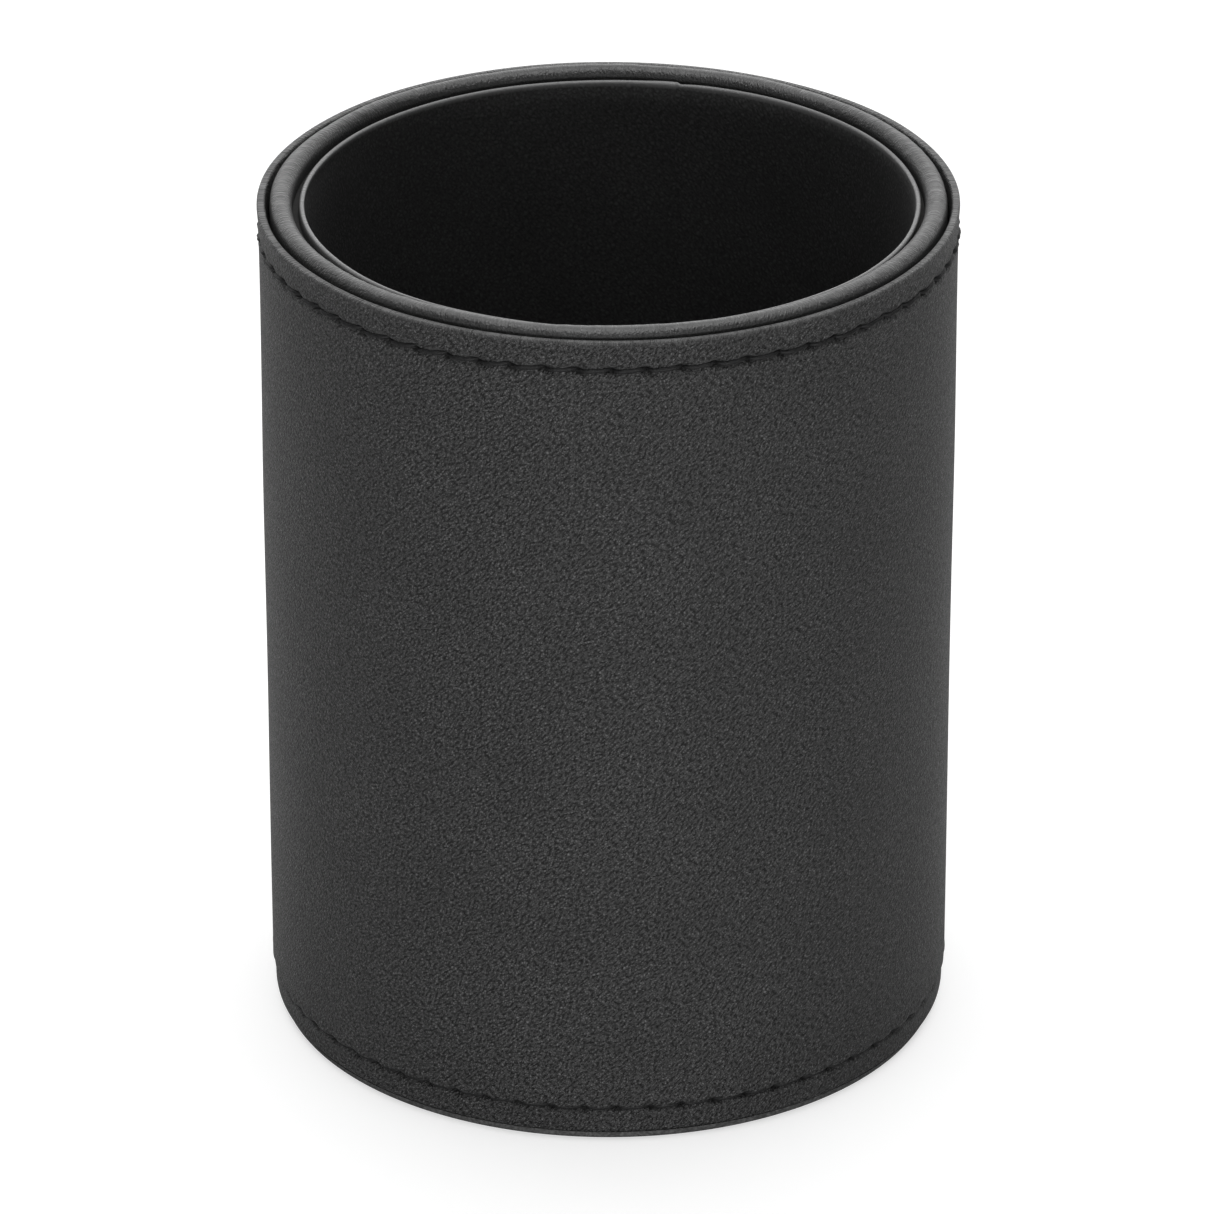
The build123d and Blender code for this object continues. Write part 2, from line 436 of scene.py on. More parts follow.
def makeThread():
    material, tree, shader = newMaterial("waxedThread")
    links = tree.links
    place = addNode(tree, "ShaderNodeTexCoord").outputs["Object"]
    fibres = addNode(tree, "ShaderNodeTexNoise")
    setInputs(fibres, Scale=threadLook["fibre"], Detail=3.0)
    links.new(place, fibres.inputs["Vector"])
    pale = rangeNode(tree, fibres.outputs["Fac"], 0.35, 0.65, 0, 1)
    color = mixColors(tree, pale, threadLook["dark"], threadLook["light"])
    links.new(color, shader.inputs["Base Color"])
    waxed = rangeNode(tree, fibres.outputs["Fac"], 0.3, 0.7, threadLook["roughest"], threadLook["waxiest"])
    links.new(waxed, shader.inputs["Roughness"])
    shader.inputs["Specular IOR Level"].default_value = threadLook["specular"]
    bump = addNode(tree, "ShaderNodeBump")
    setInputs(bump, Strength=threadLook["bump"], Distance=threadLook["bumpDepth"] * mm)
    links.new(fibres.outputs["Fac"], bump.inputs["Height"])
    links.new(bump.outputs["Normal"], shader.inputs["Normal"])
    return material


boardLook = {
    "fibreboard": {"dark": (0.09, 0.065, 0.045), "light": (0.17, 0.13, 0.09), "rough": 0.85},
    "card": {"dark": (0.008, 0.008, 0.008), "light": (0.016, 0.0155, 0.015), "rough": 0.9},
}
boardGrain = {
    "flecks": 1800.0, "plies": (900.0, 900.0, 5200.0),  # pressed plies lie across the height
    "roughChange": 0.05, "bump": 0.5, "bumpDepth": 0.05,
}


def makeBoard(name):
    look = boardLook[name]
    material, tree, shader = newMaterial(name)
    links = tree.links
    place = addNode(tree, "ShaderNodeTexCoord").outputs["Object"]
    flecks = addNode(tree, "ShaderNodeTexNoise")
    setInputs(flecks, Scale=boardGrain["flecks"], Detail=5.0, Roughness=0.7)
    links.new(place, flecks.inputs["Vector"])
    stretch = addNode(tree, "ShaderNodeMapping")
    setInputs(stretch, Scale=boardGrain["plies"])
    links.new(place, stretch.inputs["Vector"])
    plies = addNode(tree, "ShaderNodeTexNoise")
    setInputs(plies, Scale=1.0, Detail=3.0)
    links.new(stretch.outputs[0], plies.inputs["Vector"])
    both = mathNode(tree, "ADD", flecks.outputs["Fac"], plies.outputs["Fac"])
    both = mathNode(tree, "MULTIPLY", both, 0.5)
    pale = rangeNode(tree, both, 0.35, 0.65, 0, 1)
    links.new(mixColors(tree, pale, look["dark"], look["light"]), shader.inputs["Base Color"])
    change = boardGrain["roughChange"]
    rough = rangeNode(tree, both, 0.3, 0.7, look["rough"] + change, look["rough"] - change)
    links.new(rough, shader.inputs["Roughness"])
    bump = addNode(tree, "ShaderNodeBump")
    setInputs(bump, Strength=boardGrain["bump"], Distance=boardGrain["bumpDepth"] * mm)
    links.new(both, bump.inputs["Height"])
    links.new(bump.outputs["Normal"], shader.inputs["Normal"])
    return material


waxedThread = makeThread()
fibreboard = makeBoard("fibreboard")
card = makeBoard("card")
print("materials made")


# The sleeve's surface stands out past the pad's edge by the setback
body = {"padSetback": 0.95, "stitchLength": 3.85}
body["radius"] = padHigh.x + body["padSetback"]
stitchCount = round(2 * math.pi * body["radius"] / body["stitchLength"])
pitch = 2 * math.pi * body["radius"] / stitchCount

# The two rows of stitches, where the awl went through. Millimetres along and up the leather.
topRow = {
    "height": (topRowLow.z + topRowHigh.z) / 2,
    "phase": -1.36,  # where the first hole falls, along the leather from the seam
    "slant": 0.16,  # a stitch climbs this far each side of the row
    "pitWide": 0.78, "pitTall": 0.38, "pitDepth": 0.6, "pitLean": math.radians(18),
    # the furrow's darkening is painted shade along the stitches
    "furrowDepth": 0.15, "furrowAbove": 0.26, "furrowBelow": 0.42, "furrowShade": 0.15,
    "paintedHighlight": 0.9,  # painted highlight along the leather's edge above a stitch, standing for the light it catches
    "swell": 0.07, "swellReach": 0.75,
    "proud": -0.08,  # middle of the thread against the leather's surface
}
bottomRow = {
    "height": (bottomRowLow.z + bottomRowHigh.z) / 2,
    "phase": -0.91,
    "slant": 0.12,
    "pitWide": 0.74, "pitTall": 0.38, "pitDepth": 0.55, "pitLean": math.radians(10),
    # the dark line along the bottom row is painted shade in its furrow
    "furrowDepth": 0.55, "furrowAbove": 0.14, "furrowBelow": 0.45, "furrowShade": 0.95,
    "paintedHighlight": 0.0,
    "swell": 0.06, "swellReach": 0.7,
    "proud": -0.5,
}
strayAlong, strayUp = 0.16, 0.05  # how far a hole may be from its even place


def strayHole():
    return random.uniform(-strayAlong, strayAlong), random.uniform(-strayUp, strayUp)


for row in (topRow, bottomRow):
    row["holes"] = [strayHole() for _ in range(stitchCount)]

rowShape = {
    "reach": 3.0,  # no relief further than this above or below a row
    "swellTall": 0.4, "swellMean": 0.65, "swellChange": 0.35,
    # where the painted highlight sits above each stitch
    "highlightRise": 0.4, "highlightTall": 0.14, "highlightPlace": 0.82,  # place along a stitch, 0 to 1
    # painted shade in the stitch pits, and the height of the painted shade band along the furrow
    "pitShade": 1.2, "darkTall": 0.22,
}

threadRadius = 0.3  # of the CAD threads, whose boxes give the rows' heights
seam = {
    "reach": 2.4, "spaces": 21, "lean": 0.12,
    "low": seamRowLow.z + threadRadius, "high": seamRowHigh.z - threadRadius,
    "pitDepth": 0.45, "pitWide": 0.45, "pitTall": 0.34,
    "furrowDepth": 0.16, "furrowWide": 0.32, "furrowEnd": 0.4,
    # the seam's butted edges get a band of painted shade
    "edgeDrop": 0.4, "edgeReach": 0.45, "edgeDark": 0.25,
    "swell": 0.1, "swellPlace": 1.1, "swellWide": 0.8, "proud": 0.06,
    "reliefReach": 4.0, "lipFade": 3.0,
}
seam["step"] = (seam["high"] - seam["low"]) / seam["spaces"]
seamHeights = [seam["low"] + (seam["high"] - seam["low"]) * k / seam["spaces"]
               for k in range(seam["spaces"] + 1)]
seamLeans = [random.uniform(-seam["lean"], seam["lean"]) for _ in seamHeights]


def rowRelief(row, along, height):
    # how far the leather is pushed in or swells round a row, how much shade is painted in its pits and
    # furrow, and how much highlight is painted above it
    rise = height - row["height"]
    if abs(rise) > rowShape["reach"]:
        return 0.0, 0.0, 0.0
    along -= row["phase"]
    number = round(along / pitch)
    shiftAlong, shiftUp = row["holes"][number % stitchCount]
    across, up = along - number * pitch - shiftAlong, rise - shiftUp
    lean = row["pitLean"]
    wide = (across * math.cos(lean) - up * math.sin(lean)) / row["pitWide"]
    tall = (across * math.sin(lean) + up * math.cos(lean)) / row["pitTall"]
    pit = math.exp(-wide * wide - tall * tall)
    share = along / pitch % 1
    line = rise - row["slant"] * (2 * share - 1)
    furrow = hump(line, row["furrowAbove"] if line > 0 else row["furrowBelow"])
    swell = hump(abs(rise) - row["swellReach"], rowShape["swellTall"])
    swell *= rowShape["swellMean"] - rowShape["swellChange"] * math.cos(2 * math.pi * share)
    push = row["swell"] * swell - row["furrowDepth"] * furrow - row["pitDepth"] * pit
    # painted highlight on the leather above the stitch
    paintedHighlight = row["paintedHighlight"] * hump(line - rowShape["highlightRise"], rowShape["highlightTall"])
    paintedHighlight *= 0.5 + 0.5 * math.cos(2 * math.pi * (share - rowShape["highlightPlace"]))
    # painted shade in the stitch pit and along the furrow
    paintedShade = pit * rowShape["pitShade"] + row["furrowShade"] * hump(line, rowShape["darkTall"])
    return push, min(1.0, paintedShade), paintedHighlight


def seamRelief(along, height):
    # along is measured from the seam, either way
    offset = abs(along)
    if offset > seam["reliefReach"] or height < sleeveLow.z:
        return 0.0, 0.0
    fromLip = easeIn((sleeveHigh.z - height) / seam["lipFade"])
    push = -seam["edgeDrop"] * hump(offset, seam["edgeReach"]) * fromLip
    # painted shade along the butted edges, and in the seam's stitch pits
    paintedShade = hump(offset, seam["edgeDark"]) * fromLip
    step = seam["step"]
    number = min(max(round((height - seam["low"]) / step), 0), seam["spaces"])
    up = height - seamHeights[number] - seamLeans[number] * along / seam["reach"]
    pit = hump(offset - seam["reach"], seam["pitWide"]) * hump(up, seam["pitTall"])
    inside = easeIn((seam["reach"] + seam["furrowEnd"] / 2 - offset) / seam["furrowEnd"])
    push -= seam["pitDepth"] * pit + seam["furrowDepth"] * hump(up, seam["furrowWide"]) * inside
    if seam["low"] - step < height < seam["high"] + step:
        swell = hump(offset - seam["swellPlace"], seam["swellWide"])
        swell *= 0.5 - 0.5 * math.cos(2 * math.pi * (height - seam["low"]) / step)
        push += seam["swell"] * swell
    return push, min(1.0, paintedShade + pit)


# One sheet of leather rolled round the cup, butted and sewn at the back
sleeve = {
    "outer": body["radius"], "inner": rimHigh.x, "low": sleeveLow.z, "top": sleeveHigh.z,
    "lipFlare": 0.15, "lipInnerFlare": 0.47, "lipHeight": 2.8,
    "lipRound": 0.36, "hemRound": 0.6, "hemSetback": 0.3, "gap": 0.01,
    "lipWave": 0.07, "lipLift": 0.06, "lipCurve": 1.3, "edgeWear": 0.25, "hemTall": 0.9,
    "sag": 0.05, "sagSize": 16.0,  # slow unevenness of the hide on the board
    "innerDarkStart": 0.25, "innerDarkFade": 0.3,  # painted shade on the inner face, below the lip's top
    "roundSteps": 5, "wedgeSteps": 8, "sharp": 75,
    "seamReach": 3.4, "seamCuts": 5, "longEdge": 1.0, "outsideShare": 0.6,
    "rowSpacing": 0.16, "rowReach": 1.3, "lipSpacing": 0.45, "plainSpacing": 3.4,
    "innerSpacing": 4.0, "innerTop": 6.0, "hiddenSpacing": 50.0,
    "tiny": 0.01,
}


def sleeveSpacing(middle):
    if middle.x < sleeve["outer"] - sleeve["tiny"]:
        nearTop = middle.z > sleeve["top"] - sleeve["innerTop"]
        return sleeve["innerSpacing"] if nearTop else sleeve["hiddenSpacing"]
    if middle.z > sleeve["top"] - sleeve["lipHeight"]:
        return sleeve["lipSpacing"]
    for row in (topRow, bottomRow):
        if abs(middle.z - row["height"]) < sleeve["rowReach"]:
            return sleeve["rowSpacing"]
    return sleeve["plainSpacing"]


def isUprightAtSeam(edge):
    # long edges of the sleeve's outside beside the seam, where its stitches need more points
    first, second = (vert.co for vert in edge.verts)
    middle = (first + second) / 2
    turned = (angleFrom(backAngle, middle) + math.pi) % (2 * math.pi) - math.pi
    isLong = abs(first.z - second.z) > sleeve["longEdge"]
    isOutside = math.hypot(middle.x, middle.y) > sleeve["outer"] - 0.05
    return isLong and isOutside and abs(turned) * sleeve["outer"] < sleeve["seamReach"]


def makeOuterSleeve():
    outer, inner, low, top = sleeve["outer"], sleeve["inner"], sleeve["low"], sleeve["top"]
    reach = sleeve["rowReach"]
    lipStart = top - sleeve["lipHeight"]
    stops = [bottomRow["height"] - reach, bottomRow["height"] + reach, topRow["height"] - reach,
             lipStart + sleeve["tiny"]]
    corners = [(inner, low, 0), (outer, low, sleeve["hemRound"])]
    corners += [(outer, stop, 0) for stop in stops]
    corners += [(outer, top, sleeve["lipRound"]), (inner, top, sleeve["lipRound"]), (inner, lipStart, 0)]
    bm = roundedOutline(corners, sleeve["roundSteps"])
    divideEdges(bm, sleeveSpacing)
    spinRound(bm, sleeve["wedgeSteps"], backAngle, sleeve["gap"] / outer)
    upright = [edge for edge in bm.edges if isUprightAtSeam(edge)]
    bmesh.ops.subdivide_edges(bm, edges=upright, cuts=sleeve["seamCuts"])
    layOutSheet(bm, outer, backAngle)
    # per point: wear with painted highlight, and painted shade
    wearAndHighlight = bm.verts.layers.float.new("wearAndHighlight")
    paintedShade = bm.verts.layers.float.new("paintedShade")
    for vert in bm.verts:
        radius = math.hypot(vert.co.x, vert.co.y)
        height = vert.co.z
        angle = angleFrom(backAngle, vert.co)
        along = angle * outer
        fromSeam = along if angle < math.pi else along - 2 * math.pi * outer
        lip = easeIn((height - top + sleeve["lipHeight"]) / sleeve["lipHeight"]) ** sleeve["lipCurve"]
        depthShare = (radius - inner) / (outer - inner)  # 0 on the board, 1 outside
        innerFlare = sleeve["lipInnerFlare"]
        push = lip * (innerFlare + (sleeve["lipFlare"] - innerFlare) * depthShare)
        push += lip * sleeve["lipWave"] * waver(angle, turns=2.2, seed=3.1)
        if depthShare > sleeve["outsideShare"]:
            relief, dark, paintedHighlight = rowRelief(topRow, along, height)
            lowerRelief, lowerDark, lowerPaintedHighlight = rowRelief(bottomRow, along, height)
            # painted highlight above the stitches; lip wear is added below
            vert[wearAndHighlight] = paintedHighlight + lowerPaintedHighlight
            seamPush, seamDark = seamRelief(fromSeam, height)
            push += relief + lowerRelief + seamPush
            push -= sleeve["hemSetback"] * easeIn((bottomRow["height"] - height) / sleeve["hemTall"])
            place = Vector((vert.co.x, vert.co.y, height * 0.6)) / sleeve["sagSize"]
            push += sleeve["sag"] * 2 * noise.noise(place)
            # painted shade in the stitch pits, furrows and seam
            vert[paintedShade] = min(1.0, dark + lowerDark + seamDark)
        else:
            vert[paintedShade] = easeIn((top - sleeve["innerDarkStart"] - height) / sleeve["innerDarkFade"])
        shiftOut(vert, radius, push)
        vert.co.z += lip * sleeve["lipLift"] * waver(angle, turns=1.7, seed=8.4)
        edgeWear = hump(max(0.0, top - 0.05 - height), sleeve["edgeWear"])
        vert[wearAndHighlight] += edgeWear * (0.75 + 0.25 * waver(angle, turns=30, seed=1.7))
    finishPiece(bm, "outerSleeve", sleeveLeather, "outer_sleeve", sleeve["sharp"])


makeOuterSleeve()
print("sleeve made")


# Leather turned over the top of the board tube
rim = {
    "outer": rimHigh.x, "thick": 0.6, "crest": rimHigh.z, "innerEnd": rimLow.z,
    "outerSkirt": 8.0, "wide": 2.6, "roundSteps": 9, "wedgeSteps": 7, "sharp": 60,
    "crownStart": 2.4, "crownTall": 2.0,  # below the crest; how soon the crown's unevenness sets in
    "unevenWide": 0.1, "unevenHigh": 0.07, "wrinkle": 0.044, "lift": 0.04,
    "outerDark": 0.5, "innerDark": 0.75, "darkFade": 0.32,  # painted shade in the grooves beside the roll, below the crest
    "wear": 0.35, "wearChange": 0.2, "wearWide": 0.5,
    "rippleTurns": 26, "fineRippleTurns": 60, "fineRipple": 0.6, "wearTurns": 40,
}


def makeRimCover():
    outer, crest, thick = rim["outer"], rim["crest"], rim["thick"]
    inner = outer - rim["wide"]
    crown = rim["wide"] / 2
    underCrown = crown - thick - 0.01
    innerEnd, outerEnd = rim["innerEnd"], crest - rim["outerSkirt"]
    corners = [(outer, outerEnd, 0), (outer, crest, crown), (inner, crest, crown), (inner, innerEnd, 0),
               (inner + thick, innerEnd, 0), (inner + thick, crest - thick, underCrown),
               (outer - thick, crest - thick, underCrown), (outer - thick, outerEnd, 0)]
    bm = roundedOutline(corners, rim["roundSteps"])
    spinRound(bm, rim["wedgeSteps"], backAngle)
    layOutSheet(bm, outer, backAngle)
    wearAndHighlight = bm.verts.layers.float.new("wearAndHighlight")
    paintedShade = bm.verts.layers.float.new("paintedShade")
    middle = outer - crown
    for vert in bm.verts:
        radius = math.hypot(vert.co.x, vert.co.y)
        angle = angleFrom(backAngle, vert.co)
        crownShare = easeIn((vert.co.z - (crest - rim["crownStart"])) / rim["crownTall"])
        side = (radius - middle) / crown  # -1 at the mouth, 1 at the sleeve
        push = crownShare * side * rim["unevenWide"] * waver(angle, turns=2.6, seed=5.2)
        lift = crownShare * rim["unevenHigh"] * waver(angle, turns=3.4, seed=9.9)
        ripple = noise.noise(Vector((angle * rim["rippleTurns"], side * 0.9, 2.0)))
        fineRipple = noise.noise(Vector((angle * rim["fineRippleTurns"], side * 1.4, 7.0)))
        ripple += rim["fineRipple"] * fineRipple
        lift += crownShare * rim["wrinkle"] * ripple
        shiftOut(vert, radius, push)
        vert.co.z += lift + rim["lift"] * crownShare
        darkStart = rim["outerDark"] if side > 0 else rim["innerDark"]
        # painted shade in the grooves beside the roll
        vert[paintedShade] = easeIn((crest - darkStart - vert.co.z) / rim["darkFade"])
        wearNoise = noise.noise(Vector((angle * rim["wearTurns"], side, 4.0)))
        wear = rim["wear"] + rim["wearChange"] * wearNoise
        # the crest is paler: wear, and a painted highlight along the crest
        vert[wearAndHighlight] = crownShare * hump(side, rim["wearWide"]) * wear
    finishPiece(bm, "rimCover", rimLeather, "rim_cover", rim["sharp"])


makeRimCover()
print("rim made")


# A thin sleeve with a rounded upper edge and a lapped joint
lining = {
    "thick": 0.6, "outer": liningHigh.x, "low": liningLow.z, "top": liningHigh.z,
    "jointAngle": math.radians(77), "lap": 6.0, "lapStep": 0.17,
    "lean": 0.22,  # how far the whole upper edge stands over to one side
    "edgeRound": 0.29, "edgeTall": 1.6, "edgeWear": 0.28,
    "wave": 0.05, "dent": 0.04, "dentSize": 12.0,
    "jointRise": 0.1, "risePlace": 1.0, "riseWide": 2.2,  # edge of the end that lies on top
    "jointDip": 0.14, "dipWide": 1.6,  # edge of the end beneath it
    "topBand": 2.5, "topSpacing": 0.5, "innerSpacing": 4.0, "hiddenSpacing": 60.0,
    "lowRound": 0.25, "roundSteps": 5, "wedgeSteps": 5, "sharp": 60,
}


def liningSpacing(middle):
    if middle.z > lining["top"] - lining["topBand"]:
        return lining["topSpacing"]
    isInside = middle.x < lining["outer"] - lining["thick"] + 0.01
    return lining["innerSpacing"] if isInside else lining["hiddenSpacing"]


def makeLiningSleeve():
    outer, low, top = lining["outer"], lining["low"], lining["top"]
    inner = outer - lining["thick"]
    bandLow, edgeRound = top - lining["topBand"], lining["edgeRound"]
    corners = [(outer, low, 0), (outer, bandLow, 0), (outer, top, edgeRound), (inner, top, edgeRound),
               (inner, bandLow, 0), (inner, low, lining["lowRound"])]
    bm = roundedOutline(corners, lining["roundSteps"])
    divideEdges(bm, liningSpacing)
    spinRound(bm, lining["wedgeSteps"], lining["jointAngle"])
    layOutSheet(bm, inner, lining["jointAngle"])
    wearAndHighlight = bm.verts.layers.float.new("wearAndHighlight")
    for vert in bm.verts:
        radius = math.hypot(vert.co.x, vert.co.y)
        angle = angleFrom(lining["jointAngle"], vert.co)
        along = angle * inner
        nearTop = easeIn((vert.co.z - (top - lining["edgeTall"])) / lining["edgeTall"])
        push = 0.0
        if radius < inner + 0.2:
            if along > 0.2:
                push -= lining["lapStep"] * easeIn(1 - along / lining["lap"])
            push += lining["dent"] * noise.noise(vert.co / lining["dentSize"])
        push += nearTop * lining["wave"] * waver(angle, turns=3.0, seed=6.6)
        shiftOut(vert, radius, push)
        vert.co.x += nearTop * lining["lean"]
        tail = 2 * math.pi * inner - along
        rise = lining["jointRise"] * hump(along - lining["risePlace"], lining["riseWide"])
        rise -= lining["jointDip"] * hump(tail, lining["dipWide"])
        vert.co.z += nearTop * (rise + lining["wave"] * waver(angle, turns=2.4, seed=1.2))
        vert[wearAndHighlight] = hump(max(0.0, top - 0.1 - vert.co.z), lining["edgeWear"])
    finishPiece(bm, "liningSleeve", liningLeather, "lining_sleeve", lining["sharp"])


makeLiningSleeve()
print("lining made")


# The leather on the cup's floor, and the pad that the cup stands on
floorCover = {
    "radius": floorHigh.x - 0.05, "low": floorLow.z, "high": floorHigh.z,
    "edgeRound": 0.25, "uneven": 0.12, "wedgeSteps": 3,
}
basePad = {
    "radius": padHigh.x, "low": padLow.z, "high": padHigh.z,
    "edgeRound": 0.3, "uneven": 0.0, "wedgeSteps": 4,
}
disc = {"hub": 0.5, "spacing": 1.6, "dentSize": 9.0, "flatEdge": 2.0, "roundSteps": 4, "sharp": 60}


def makeDisc(name, size, material, node):
    radius, low, high = size["radius"], size["low"], size["high"]
    bm = bmesh.new()
    corners = [(disc["hub"], low), (radius, low), (radius, high), (disc["hub"], high)]
    points = [bm.verts.new((out, 0, height)) for out, height in corners]
    bm.faces.new(points)
    bmesh.ops.bevel(bm, geom=points[1:3], offset=size["edgeRound"], offset_type="OFFSET",
                    segments=disc["roundSteps"], profile=0.5, affect="VERTICES", material=-1)
    bmesh.ops.delete(bm, geom=bm.faces[:], context="FACES_ONLY")
    hubEdges = [edge for edge in bm.edges if max(vert.co.x for vert in edge.verts) < disc["hub"] + 0.1]
    bmesh.ops.delete(bm, geom=hubEdges, context="EDGES")
    divideEdges(bm, lambda middle: disc["spacing"])
    spinRound(bm, size["wedgeSteps"], backAngle)
    bmesh.ops.edgeloop_fill(bm, edges=[edge for edge in bm.edges if edge.is_boundary])
    for vert in bm.verts:
        flat = Vector((vert.co.x, vert.co.y, 0))
        if abs(vert.co.z - high) < 0.01:
            fromEdge = 1 - hump(flat.length - radius, disc["flatEdge"])
            vert.co.z += size["uneven"] * (noise.noise(flat / disc["dentSize"]) - 0.5) * fromEdge
    finishPiece(bm, name, material, node, disc["sharp"])


floorLeather = makeLeather("floorLeather", {**liningLook, "onSheet": False})
makeDisc("floorCover", floorCover, floorLeather, "floor_cover")
makeDisc("basePad", basePad, padLeather, "base_pad")
print("floor and pad made")


# Waxed thread of two plies; each stitch dives into its two holes
thread = {
    "radius": 0.27, "unevenLow": 0.94, "unevenHigh": 1.05,
    "sides": 8, "rings": 9, "seamRings": 12,
    "lobes": 0.16, "turns": 1.4,  # how far the plies stand out, and their twist in one stitch
    "dive": 0.75, "diveReach": 0.14, "seamDiveReach": 0.12,
    "nudge": 0.01,  # a small step along the path, which gives its direction
    "sharp": 180,
}


def turnOfParent(vert, turns):
    # the turn of the point that this one was extruded from
    others = (edge.other_vert(vert) for edge in vert.link_edges)
    return next(turns[other] for other in others if other in turns)


def threadLength(bm, rings, path, thickness):
    # one stitch, extruded ring by ring along path(share) -> (along, out, up)
    ring = bmesh.ops.create_circle(bm, cap_ends=True, segments=thread["sides"], radius=1.0)["verts"]
    twist = random.uniform(0, math.pi)
    turns = {vert: 2 * math.pi * k / len(ring) for k, vert in enumerate(ring)}
    made = list(ring)
    edges = list({edge for vert in ring for edge in vert.link_edges})
    for number in range(rings + 1):
        share = number / rings
        middle = Vector(path(share))
        ahead = Vector(path(share + thread["nudge"])) - Vector(path(share - thread["nudge"]))
        ahead.normalize()
        side = ahead.cross(Vector((0, 1, 0))).normalized()
        lift = side.cross(ahead).normalized()
        if number:
            grown = bmesh.ops.extrude_edge_only(bm, edges=edges)["geom"]
            ring = [item for item in grown if isinstance(item, bmesh.types.BMVert)]
            edges = [item for item in grown if isinstance(item, bmesh.types.BMEdge)
                     and all(vert in ring for vert in item.verts)]
            turns = {vert: turnOfParent(vert, turns) for vert in ring}
            made += ring
        plyTurn = twist + 2 * math.pi * thread["turns"] * share
        for vert, turn in turns.items():
            lobe = 1 + thread["lobes"] * math.cos(2 * (turn + plyTurn))
            vert.co = middle + (side * math.cos(turn) + lift * math.sin(turn)) * thickness * lobe
    bmesh.ops.edgeloop_fill(bm, edges=edges)
    return made


def wrapOnCup(verts, startAlong):
    # from along, out, up to a place on the cup's side
    for vert in verts:
        angle = backAngle + (startAlong + vert.co.x) / body["radius"]
        radius = body["radius"] + vert.co.y
        vert.co = Vector((radius * math.cos(angle), radius * math.sin(angle), vert.co.z))


def stitchPath(row, number):
    fromAlong, fromUp = row["holes"][number]
    toAlong, toUp = row["holes"][(number + 1) % stitchCount]

    def path(share):
        along = fromAlong + (pitch + toAlong - fromAlong) * share
        ends = hump(share, thread["diveReach"]) + hump(1 - share, thread["diveReach"])
        out = row["proud"] - thread["dive"] * ends
        up = row["height"] + fromUp + (toUp - fromUp) * share + row["slant"] * (2 * share - 1)
        return along, out, up
    return path


def seamPath(height, lean):
    def path(share):
        along = seam["reach"] * (2 * share - 1)
        ends = hump(share, thread["seamDiveReach"]) + hump(1 - share, thread["seamDiveReach"])
        return along, seam["proud"] - thread["dive"] * ends, height + lean * (2 * share - 1)
    return path


def makeRow(name, row, node):
    bm = bmesh.new()
    for number in range(stitchCount):
        thickness = thread["radius"] * random.uniform(thread["unevenLow"], thread["unevenHigh"])
        made = threadLength(bm, thread["rings"], stitchPath(row, number), thickness)
        wrapOnCup(made, number * pitch + row["phase"])
    finishPiece(bm, name, waxedThread, node, thread["sharp"])


def makeSeamStitches():
    bm = bmesh.new()
    for height, lean in zip(seamHeights, seamLeans):
        made = threadLength(bm, thread["seamRings"], seamPath(height, lean), thread["radius"])
        wrapOnCup(made, 0)
    finishPiece(bm, "seamStitches", waxedThread, "seam_stitches", thread["sharp"])


makeRow("topStitches", topRow, "top_stitches")
makeRow("bottomStitches", bottomRow, "bottom_stitches")
makeSeamStitches()
print("stitches made")


# The boards inside keep their CAD shape
boardMaterials = {
    "core_tube": fibreboard, "base_board": fibreboard, "lining_board": card, "floor_board": card,
}
for nodeName, material in boardMaterials.items():
    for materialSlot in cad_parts[nodeName].material_slots:
        materialSlot.material = material
print("boards dressed")


# Places and sizes in the studio are in metres, and the lens in millimetres
studio = {
    "floorSize": 8.0, "floor": (0.52, 0.52, 0.52), "floorRough": 0.9, "floorSpecular": 0.1,
    "glow": 0.6,  # the table shows paler than the light it throws back on the cup
    "backdrop": 1.8, "sides": 0.06, "front": 0.3,  # how bright the room is in each direction
}
lightTarget = (0, 0, 0.05)
softLights = {
    "overheadSoftbox": {"place": (0.0, 0.0, 0.95), "size": (0.9, 0.64), "power": 7},
    "lowFrontPanel": {"place": (0.0, -1.15, 0.085), "size": (1.5, 0.17), "power": 10.2},
}
lens = {
    "place": (0.0, -0.85817, 0.47442), "pitch": 26.38,
    "focal": 243.97, "sensor": 36.0, "shift": -0.00133,
}


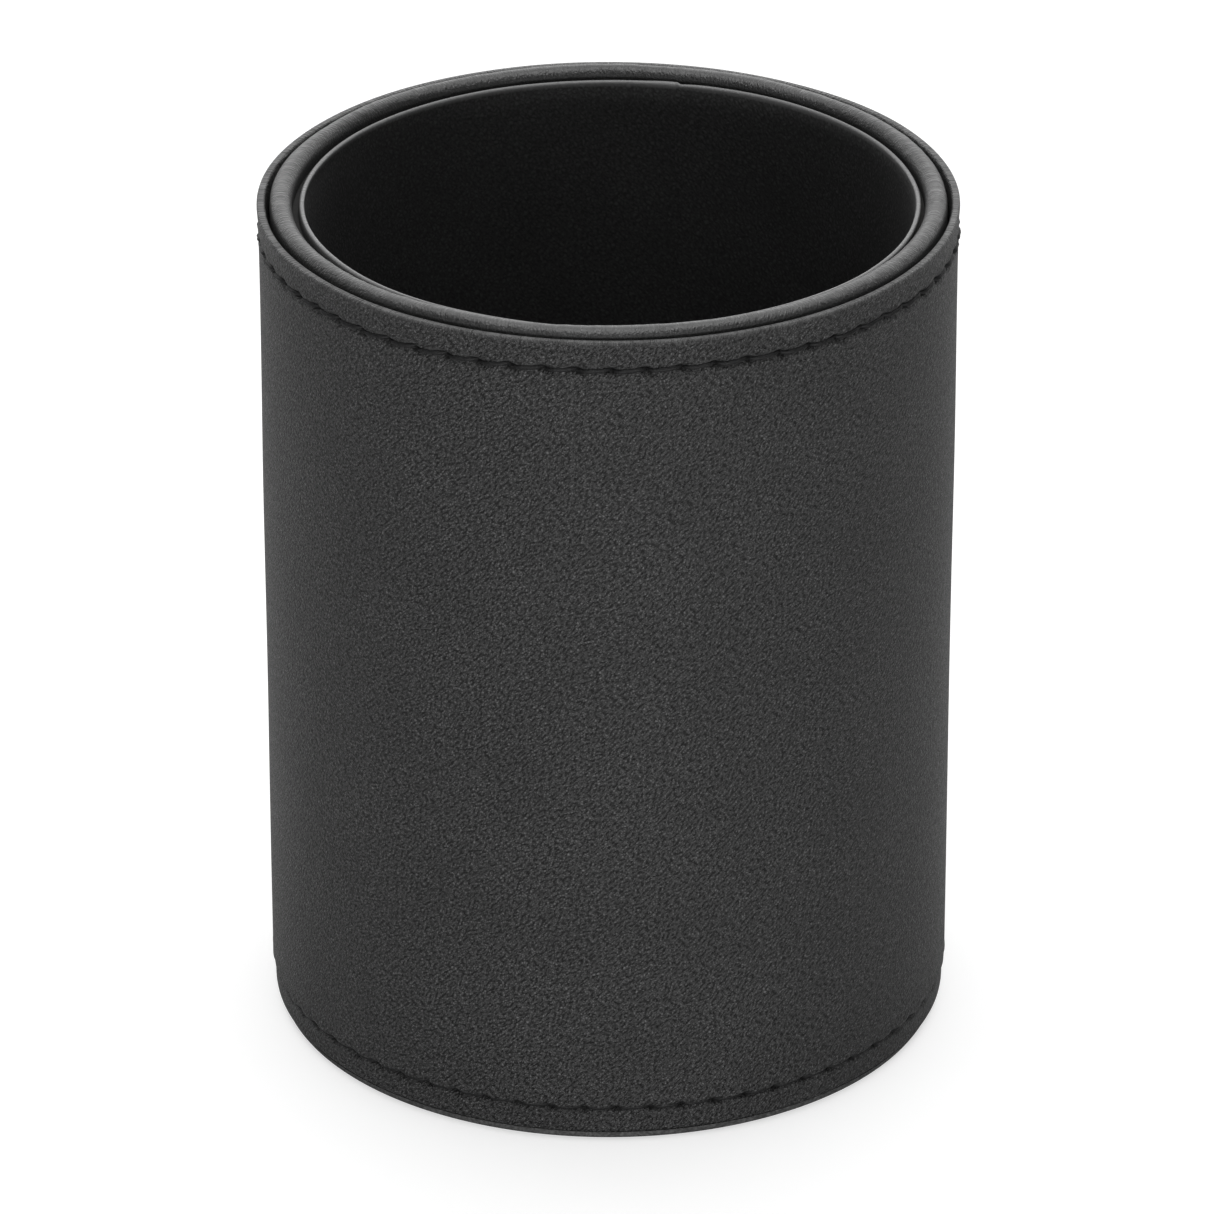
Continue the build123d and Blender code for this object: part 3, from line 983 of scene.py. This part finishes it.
def makeTable():
    bm = bmesh.new()
    bmesh.ops.create_grid(bm, x_segments=4, y_segments=4, size=studio["floorSize"] / 2)
    mesh = bpy.data.meshes.new("tableTop")
    bm.to_mesh(mesh)
    bm.free()
    table = bpy.data.objects.new("tableTop", mesh)
    bpy.context.scene.collection.objects.link(table)
    material, tree, shader = newMaterial("paleTable")
    shader.inputs["Base Color"].default_value = (*studio["floor"], 1)
    shader.inputs["Roughness"].default_value = studio["floorRough"]
    shader.inputs["Specular IOR Level"].default_value = studio["floorSpecular"]
    shader.inputs["Emission Color"].default_value = (1, 1, 1, 1)
    seen = addNode(tree, "ShaderNodeLightPath").outputs["Is Camera Ray"]
    tree.links.new(mathNode(tree, "MULTIPLY", seen, studio["glow"]), shader.inputs["Emission Strength"])
    mesh.materials.append(material)


def makeRoom():
    # a bright backdrop behind the cup, and a dim room to its sides and in front
    world = bpy.data.worlds.new("studioWorld")
    world.use_nodes = True
    tree = world.node_tree
    direction = addNode(tree, "ShaderNodeTexCoord").outputs["Generated"]
    parts = addNode(tree, "ShaderNodeSeparateXYZ")
    tree.links.new(direction, parts.inputs[0])
    behind = rangeNode(tree, parts.outputs["Y"], 0.3, 0.72, studio["sides"], studio["backdrop"])
    ahead = rangeNode(tree, parts.outputs["Y"], -0.6, -0.2, studio["front"] - studio["sides"], 0.0)
    background = tree.nodes["Background"]
    background.inputs["Color"].default_value = (1, 1, 1, 1)
    tree.links.new(mathNode(tree, "ADD", behind, ahead), background.inputs["Strength"])
    bpy.context.scene.world = world


def addSoftLight(name, look):
    data = bpy.data.lights.new(name, "AREA")
    data.shape = "RECTANGLE"
    data.size, data.size_y = look["size"]
    data.energy = look["power"]
    light = bpy.data.objects.new(name, data)
    light.location = look["place"]
    toTarget = Vector(lightTarget) - Vector(look["place"])
    light.rotation_euler = toTarget.to_track_quat("-Z", "Y").to_euler()
    bpy.context.scene.collection.objects.link(light)


def placeCamera():
    data = bpy.data.cameras.new("camera")
    data.sensor_width = lens["sensor"]
    data.lens = lens["focal"]
    data.shift_x = lens["shift"]
    data.clip_start = 0.01
    camera = bpy.data.objects.new("camera", data)
    camera.location = lens["place"]
    camera.rotation_euler = (math.radians(90 - lens["pitch"]), 0, 0)
    bpy.context.scene.collection.objects.link(camera)
    bpy.context.scene.camera = camera


makeTable()
makeRoom()
for lightName, lightLook in softLights.items():
    addSoftLight(lightName, lightLook)
placeCamera()
bpy.context.scene.view_settings.view_transform = "Standard"
print("studio set")
